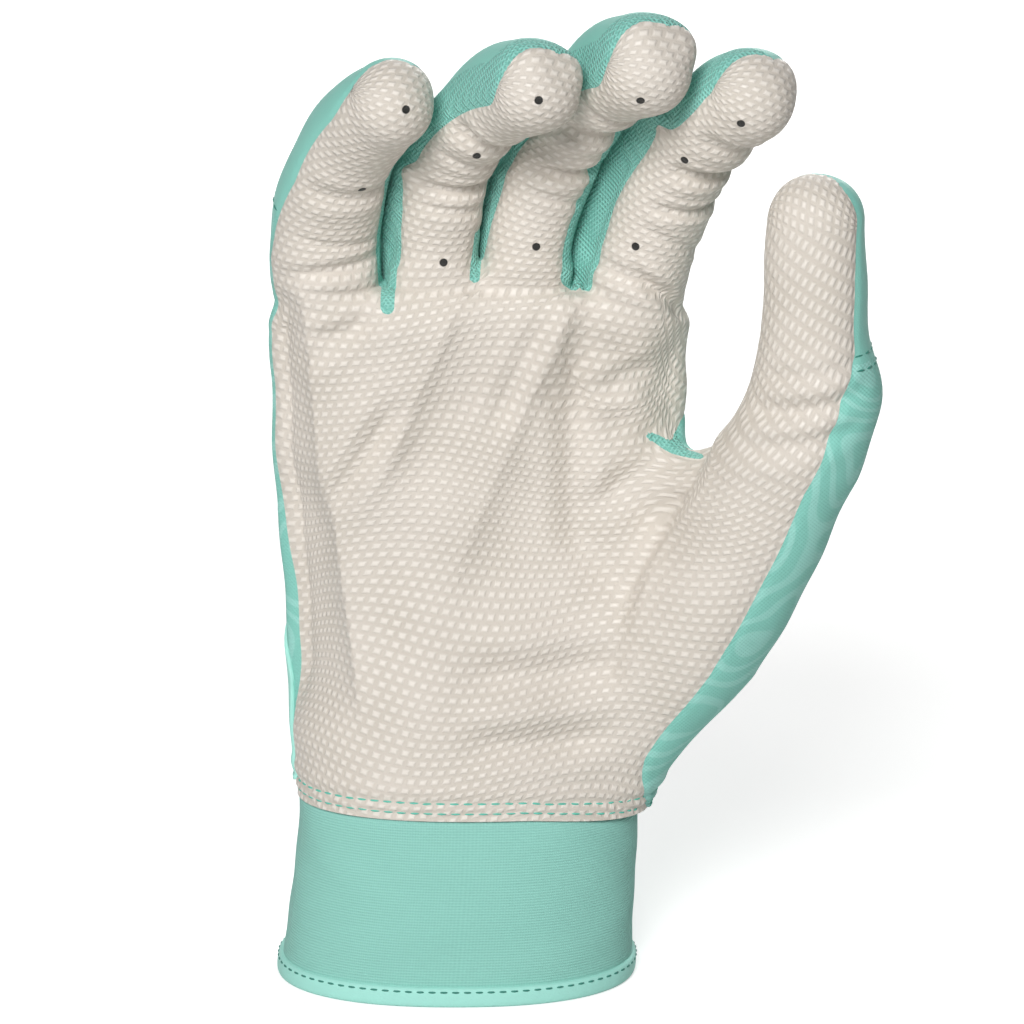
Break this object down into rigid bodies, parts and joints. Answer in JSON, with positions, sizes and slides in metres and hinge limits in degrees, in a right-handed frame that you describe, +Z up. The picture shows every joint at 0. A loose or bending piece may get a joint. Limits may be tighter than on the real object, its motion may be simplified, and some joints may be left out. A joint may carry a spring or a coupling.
{
  "type": "batting glove",
  "caption": "Right-hand batting glove with an embossed cream palm, mint back and knit cuff, standing on its cuff with curled fingers that bend and a wrist strap that opens.",
  "frame": {"origin": "on the floor plane under the middle of the glove's bounding box", "axes": "+Z up from the cuff to the fingertips, -Y the way the palm faces, +X towards the thumb"},
  "size_m": [0.1294, 0.08, 0.2179],
  "materials": {
    "palm_leather": "soft cream leather embossed with staggered rows of small raised dashes",
    "back_fabric": "mint stretch fabric with a tonal print of wavy lines",
    "finger_back": "smooth matte mint synthetic leather",
    "flex_zone": "the creased stretch of glove skin round a finger joint",
    "fourchette_knit": "mint textured knit",
    "cuff_knit": "fine horizontal rib knit, mint",
    "trim": "pale mint binding and backing fabric",
    "strap": "smooth matte mint moulded strap",
    "loop_tape": "fuzzy loop fastening tape",
    "hook_tape": "grey hook fastening tape"
  },
  "bodies": {
    "hand": {"palm_leather": "palm_leather", "back_panel": "back_fabric", "heel_patch": "trim", "fourchette_little_ring": "fourchette_knit", "fourchette_ring_middle": "fourchette_knit", "fourchette_middle_index": "fourchette_knit", "thumb_base_leather": "palm_leather", "thumb_base_back": "back_fabric", "wristband_palm": "cuff_knit", "wristband_back_inner": "cuff_knit", "wristband_back_outer": "cuff_knit", "hem_binding": "trim", "vent_insert": "cuff_knit", "loop_tape": "loop_tape", "strap_anchor": "strap", "little_base_flex": "flex_zone", "ring_base_flex": "flex_zone", "middle_base_flex": "flex_zone", "index_base_flex": "flex_zone", "thumb_base_flex": "flex_zone"},
    "little_lower": {"little_lower_leather": "palm_leather", "little_lower_back": "finger_back", "little_upper_flex": "flex_zone"},
    "little_upper": {"little_upper_leather": "palm_leather", "little_upper_back": "finger_back", "little_fourchette_inner": "fourchette_knit"},
    "ring_lower": {"ring_lower_leather": "palm_leather", "ring_lower_back": "finger_back", "ring_upper_flex": "flex_zone"},
    "ring_upper": {"ring_upper_leather": "palm_leather", "ring_upper_back": "finger_back", "ring_fourchette_outer": "fourchette_knit", "ring_fourchette_inner": "fourchette_knit"},
    "middle_lower": {"middle_lower_leather": "palm_leather", "middle_lower_back": "finger_back", "middle_upper_flex": "flex_zone"},
    "middle_upper": {"middle_upper_leather": "palm_leather", "middle_upper_back": "finger_back", "middle_fourchette_outer": "fourchette_knit", "middle_fourchette_inner": "fourchette_knit"},
    "index_lower": {"index_lower_leather": "palm_leather", "index_lower_back": "finger_back", "index_upper_flex": "flex_zone"},
    "index_upper": {"index_upper_leather": "palm_leather", "index_upper_back": "finger_back", "index_fourchette_outer": "fourchette_knit"},
    "thumb_lower": {"thumb_lower_leather": "palm_leather", "thumb_lower_back": "finger_back", "thumb_upper_flex": "flex_zone"},
    "thumb_upper": {"thumb_upper_leather": "palm_leather", "thumb_upper_back": "finger_back"},
    "strap": {"strap": "strap", "hook_tape": "hook_tape", "strap_pull_tab": "trim"}
  },
  "joints": [
    {"name": "little_base", "type": "hinge", "parent": "hand", "child": "little_lower", "pos_m": [-0.0509, 0.00452, 0.16376], "axis": [0.9421, 0.3302, 0.0595], "range_deg": [-15, 40], "stiffness_Nm_per_rad": 0.08, "deforming": ["little_base_flex"]},
    {"name": "little_upper", "type": "hinge", "parent": "little_lower", "child": "little_upper", "pos_m": [-0.04828, -0.00326, 0.1839], "axis": [0.9374, 0.3437, -0.0569], "range_deg": [-20, 45], "stiffness_Nm_per_rad": 0.06, "deforming": ["little_upper_flex"]},
    {"name": "ring_base", "type": "hinge", "parent": "hand", "child": "ring_lower", "pos_m": [-0.02758, 0.00367, 0.1665], "axis": [0.9305, 0.3661, -0.0127], "range_deg": [-15, 40], "stiffness_Nm_per_rad": 0.08, "deforming": ["ring_base_flex"]},
    {"name": "ring_upper", "type": "hinge", "parent": "ring_lower", "child": "ring_upper", "pos_m": [-0.02306, -0.00441, 0.19035], "axis": [0.9104, 0.395, -0.1228], "range_deg": [-20, 45], "stiffness_Nm_per_rad": 0.06, "deforming": ["ring_upper_flex"]},
    {"name": "middle_base", "type": "hinge", "parent": "hand", "child": "middle_lower", "pos_m": [-0.00737, 0.00366, 0.16856], "axis": [0.9108, 0.3946, -0.1213], "range_deg": [-15, 40], "stiffness_Nm_per_rad": 0.08, "deforming": ["middle_base_flex"]},
    {"name": "middle_upper", "type": "hinge", "parent": "middle_lower", "child": "middle_upper", "pos_m": [0.00089, -0.00419, 0.19382], "axis": [0.8892, 0.412, -0.1987], "range_deg": [-20, 45], "stiffness_Nm_per_rad": 0.06, "deforming": ["middle_upper_flex"]},
    {"name": "index_base", "type": "hinge", "parent": "hand", "child": "index_lower", "pos_m": [0.01754, 0.00274, 0.16627], "axis": [0.9001, 0.3861, -0.2017], "range_deg": [-15, 40], "stiffness_Nm_per_rad": 0.08, "deforming": ["index_base_flex"]},
    {"name": "index_upper", "type": "hinge", "parent": "index_lower", "child": "index_upper", "pos_m": [0.0258, -0.00567, 0.18811], "axis": [0.8993, 0.3865, -0.2045], "range_deg": [-20, 45], "stiffness_Nm_per_rad": 0.06, "deforming": ["index_upper_flex"]},
    {"name": "thumb_base", "type": "hinge", "parent": "hand", "child": "thumb_lower", "pos_m": [0.04823, -0.01039, 0.12435], "axis": [-0.8915, 0.2815, 0.3549], "range_deg": [-20, 12], "stiffness_Nm_per_rad": 0.1, "deforming": ["thumb_base_flex"]},
    {"name": "thumb_upper", "type": "hinge", "parent": "thumb_lower", "child": "thumb_upper", "pos_m": [0.05286, -0.01464, 0.15044], "axis": [-0.9533, 0.301, 0.0243], "range_deg": [-40, 15], "stiffness_Nm_per_rad": 0.06, "deforming": ["thumb_upper_flex"]},
    {"name": "strap_peel", "type": "hinge", "parent": "hand", "child": "strap", "pos_m": [-0.00495, 0.03745, 0.0225], "axis": [0.0061, 0.0504, -0.9987], "range_deg": [0, 110]}
  ]
}
